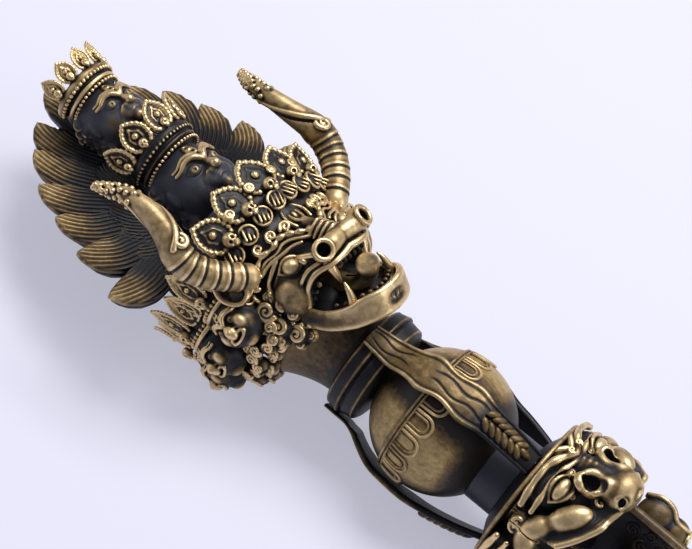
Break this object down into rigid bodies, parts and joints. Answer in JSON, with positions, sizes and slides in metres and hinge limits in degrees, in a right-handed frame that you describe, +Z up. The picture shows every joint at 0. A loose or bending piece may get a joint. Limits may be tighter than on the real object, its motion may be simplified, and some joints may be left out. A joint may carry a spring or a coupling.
{
  "type": "phurba",
  "caption": "Ritual dagger in antiqued brass: three-flanged blade held by beast heads, round strapped grip bulb, ringed collar, horned head in a ring of small heads, flame-hair fan.",
  "frame": {"origin": "middle of the bounding box at its lowest level, so the object lies on its back on the surface", "axes": "+X along the handle and blade, towards the blade's tip; +Z up, the way the horned head faces; +Y to the far side"},
  "size_m": [0.256, 0.06, 0.0486],
  "materials": {
    "brass_ornament": "antiqued satin, dark in the recesses",
    "dark_patina": "near-black patina, satin",
    "brown_patina": "brown-gold patina, satin",
    "blade_metal": "dark patina with worn gold edges"
  },
  "bodies": {
    "root": {"blade": "blade_metal", "serpents": "brass_ornament", "scrolls": "brass_ornament", "beast_front": "brass_ornament", "beast_near": "brass_ornament", "beast_far": "brass_ornament", "hood": "brass_ornament", "spindle": "dark_patina", "bulb": "brown_patina", "petals": "brass_ornament", "strap_front": "brass_ornament", "strap_near": "brass_ornament", "strap_far": "brass_ornament", "collar": "brass_ornament", "neck": "brown_patina", "head_core": "dark_patina", "bull_head": "dark_patina", "bull_eyes": "brass_ornament", "bull_muzzle": "brass_ornament", "bull_jaw": "brass_ornament", "bull_tongue": "brass_ornament", "bull_fangs": "brass_ornament", "horn_near": "brass_ornament", "horn_far": "brass_ornament", "ear_near": "brass_ornament", "ear_far": "brass_ornament", "skull_crown": "brass_ornament", "side_near_1": "brass_ornament", "side_near_2": "brass_ornament", "side_near_3": "brass_ornament", "side_far_1": "brass_ornament", "side_far_2": "brass_ornament", "side_far_3": "brass_ornament", "middle_head": "dark_patina", "middle_crown": "brass_ornament", "top_head": "dark_patina", "top_crown": "brass_ornament", "flame_fan": "brass_ornament"}
  },
  "joints": []
}
